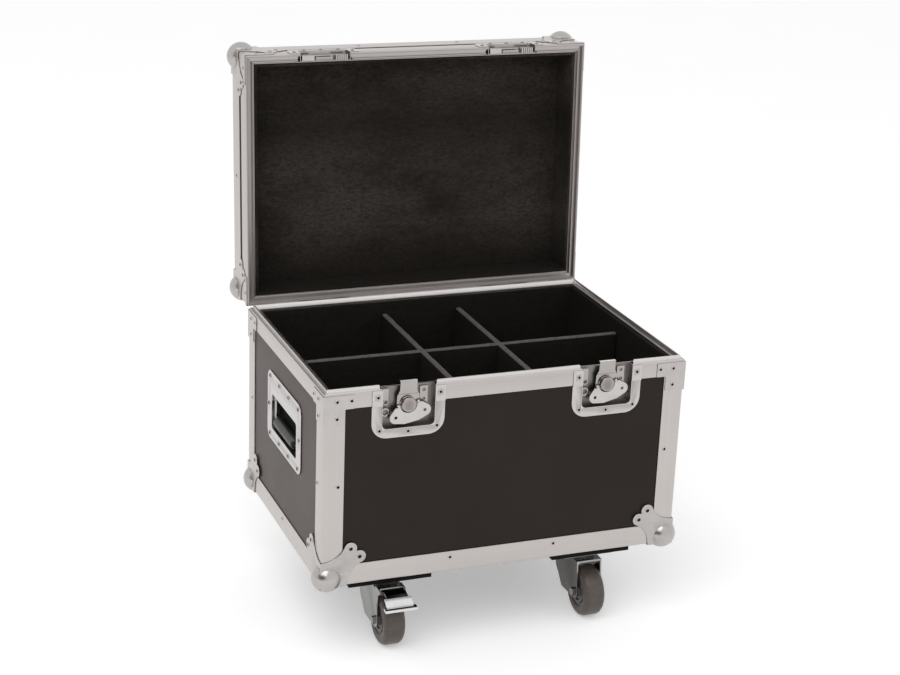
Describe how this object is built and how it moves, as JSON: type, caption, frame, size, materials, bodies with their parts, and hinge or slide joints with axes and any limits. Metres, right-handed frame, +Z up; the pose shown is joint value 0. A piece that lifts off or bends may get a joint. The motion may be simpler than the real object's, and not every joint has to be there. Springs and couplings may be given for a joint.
{
  "type": "lighting flight case",
  "caption": "Hinged-lid flight case on swivel castors with riveted metal edges, ball corners, recessed turn latches, end handles and a foam interior with dividers.",
  "frame": {"origin": "on the floor, below the middle of the whole part with its lid open", "axes": "+Z up, +X to the right as seen from the front, -Y towards the front with the two latches"},
  "size_m": [0.5908, 0.5362, 0.834],
  "materials": {
    "laminate": "plywood faced with near-black brown laminate, fine texture",
    "aluminium": "drawn and lightly brushed",
    "corner_steel": "pressed steel, bright zinc plate",
    "plated_steel": "pressed steel, bright plated",
    "castor_steel": "pressed steel, dark zinc plate",
    "pedal_steel": "polished plate",
    "foam": "black foam, matt",
    "grip": "black, satin",
    "tyre": "grey thermoplastic rubber"
  },
  "bodies": {
    "case": {"front_panel": "laminate", "back_panel": "laminate", "left_panel": "laminate", "right_panel": "laminate", "floor_panel": "laminate", "base_edge_angles": "aluminium", "base_rim": "aluminium", "base_corner_front_left": "corner_steel", "base_corner_front_right": "corner_steel", "base_corner_rear_left": "corner_steel", "base_corner_rear_right": "corner_steel", "base_lining": "foam", "left_divider": "foam", "right_divider": "foam", "cross_divider": "foam", "left_latch_dish": "plated_steel", "right_latch_dish": "plated_steel", "left_handle_dish": "plated_steel", "right_handle_dish": "plated_steel", "left_castor_board": "laminate", "right_castor_board": "laminate", "front_left_castor_plate": "castor_steel", "front_right_castor_plate": "castor_steel", "rear_left_castor_plate": "castor_steel", "rear_right_castor_plate": "castor_steel", "left_hinge_base_leaf": "plated_steel", "right_hinge_base_leaf": "plated_steel"},
    "lid": {"lid_panel": "laminate", "lid_walls": "laminate", "lid_edge_angles": "aluminium", "lid_rim": "aluminium", "lid_corner_front_left": "corner_steel", "lid_corner_front_right": "corner_steel", "lid_corner_rear_left": "corner_steel", "lid_corner_rear_right": "corner_steel", "lid_lining": "foam", "left_keeper": "plated_steel", "right_keeper": "plated_steel", "left_hinge_lid_leaf": "plated_steel", "right_hinge_lid_leaf": "plated_steel"},
    "left_hook": {"left_latch_hook": "plated_steel"},
    "left_cam": {"left_latch_cam": "plated_steel"},
    "left_wing": {"left_latch_wing": "plated_steel"},
    "left_handle": {"left_handle_bail": "plated_steel", "left_handle_grip": "grip"},
    "right_hook": {"right_latch_hook": "plated_steel"},
    "right_cam": {"right_latch_cam": "plated_steel"},
    "right_wing": {"right_latch_wing": "plated_steel"},
    "right_handle": {"right_handle_bail": "plated_steel", "right_handle_grip": "grip"},
    "front_left_fork": {"front_left_castor_fork": "castor_steel"},
    "front_left_wheel": {"front_left_wheel": "tyre"},
    "front_left_pedal": {"front_left_brake_pedal": "pedal_steel"},
    "front_right_fork": {"front_right_castor_fork": "castor_steel"},
    "front_right_wheel": {"front_right_wheel": "tyre"},
    "rear_left_fork": {"rear_left_castor_fork": "castor_steel"},
    "rear_left_wheel": {"rear_left_wheel": "tyre"},
    "rear_right_fork": {"rear_right_castor_fork": "castor_steel"},
    "rear_right_wheel": {"rear_right_wheel": "tyre"},
    "rear_right_pedal": {"rear_right_brake_pedal": "pedal_steel"}
  },
  "joints": [
    {"name": "lid_hinge", "type": "hinge", "parent": "case", "child": "lid", "pos_m": [0, 0.15449, 0.426], "axis": [1, 0, 0], "range_deg": [0, 92.6]},
    {"name": "left_cam_turn", "type": "hinge", "parent": "case", "child": "left_cam", "pos_m": [-0.157, -0.24711, 0.402], "axis": [0, 1, 0], "range_deg": [0, 180]},
    {"name": "left_hook_tilt", "type": "hinge", "parent": "case", "child": "left_hook", "pos_m": [-0.157, -0.23981, 0.382], "axis": [-1, 0, 0], "range_deg": [0, 3.5]},
    {"name": "left_wing_fold", "type": "hinge", "parent": "left_cam", "child": "left_wing", "pos_m": [-0.157, -0.24611, 0.402], "axis": [-0.9816, 0, -0.1908], "range_deg": [0, 90]},
    {"name": "left_handle_swing", "type": "hinge", "parent": "case", "child": "left_handle", "pos_m": [-0.2795, -0.04811, 0.3255], "axis": [0, 1, 0], "range_deg": [0, 90], "stiffness_Nm_per_rad": 0.12, "springref_deg": -22.92},
    {"name": "right_cam_turn", "type": "hinge", "parent": "case", "child": "right_cam", "pos_m": [0.157, -0.24711, 0.402], "axis": [0, 1, 0], "range_deg": [0, 180]},
    {"name": "right_hook_tilt", "type": "hinge", "parent": "case", "child": "right_hook", "pos_m": [0.157, -0.23981, 0.382], "axis": [-1, 0, 0], "range_deg": [0, 3.5]},
    {"name": "right_wing_fold", "type": "hinge", "parent": "right_cam", "child": "right_wing", "pos_m": [0.157, -0.24611, 0.402], "axis": [-0.9703, 0, -0.2419], "range_deg": [0, 90]},
    {"name": "right_handle_swing", "type": "hinge", "parent": "case", "child": "right_handle", "pos_m": [0.2795, -0.04811, 0.3255], "axis": [0, -1, 0], "range_deg": [0, 90], "stiffness_Nm_per_rad": 0.12, "springref_deg": -22.92},
    {"name": "front_left_swivel", "type": "hinge", "parent": "case", "child": "front_left_fork", "pos_m": [-0.165, -0.17111, 0.103], "axis": [0, 0, 1], "continuous": true},
    {"name": "front_left_axle", "type": "hinge", "parent": "front_left_fork", "child": "front_left_wheel", "pos_m": [-0.165, -0.20611, 0.04], "axis": [1, 0, 0], "continuous": true},
    {"name": "front_left_brake", "type": "hinge", "parent": "front_left_fork", "child": "front_left_pedal", "pos_m": [-0.165, -0.22311, 0.0925], "axis": [1, 0, 0], "range_deg": [0, 8]},
    {"name": "front_right_swivel", "type": "hinge", "parent": "case", "child": "front_right_fork", "pos_m": [0.165, -0.17111, 0.103], "axis": [0, 0, 1], "continuous": true},
    {"name": "front_right_axle", "type": "hinge", "parent": "front_right_fork", "child": "front_right_wheel", "pos_m": [0.165, -0.20611, 0.04], "axis": [1, 0, 0], "continuous": true},
    {"name": "rear_left_swivel", "type": "hinge", "parent": "case", "child": "rear_left_fork", "pos_m": [-0.165, 0.07489, 0.103], "axis": [0, 0, 1], "continuous": true},
    {"name": "rear_left_axle", "type": "hinge", "parent": "rear_left_fork", "child": "rear_left_wheel", "pos_m": [-0.165, 0.03989, 0.04], "axis": [1, 0, 0], "continuous": true},
    {"name": "rear_right_swivel", "type": "hinge", "parent": "case", "child": "rear_right_fork", "pos_m": [0.165, 0.07489, 0.103], "axis": [0, 0, 1], "continuous": true},
    {"name": "rear_right_axle", "type": "hinge", "parent": "rear_right_fork", "child": "rear_right_wheel", "pos_m": [0.165, 0.03989, 0.04], "axis": [1, 0, 0], "continuous": true},
    {"name": "rear_right_brake", "type": "hinge", "parent": "rear_right_fork", "child": "rear_right_pedal", "pos_m": [0.165, 0.02289, 0.0925], "axis": [1, 0, 0], "range_deg": [0, 8]}
  ],
  "couplings": [
    {"joint": "left_hook_tilt", "follows": "left_cam_turn", "ratio": 0.019444},
    {"joint": "right_hook_tilt", "follows": "right_cam_turn", "ratio": 0.019444}
  ]
}
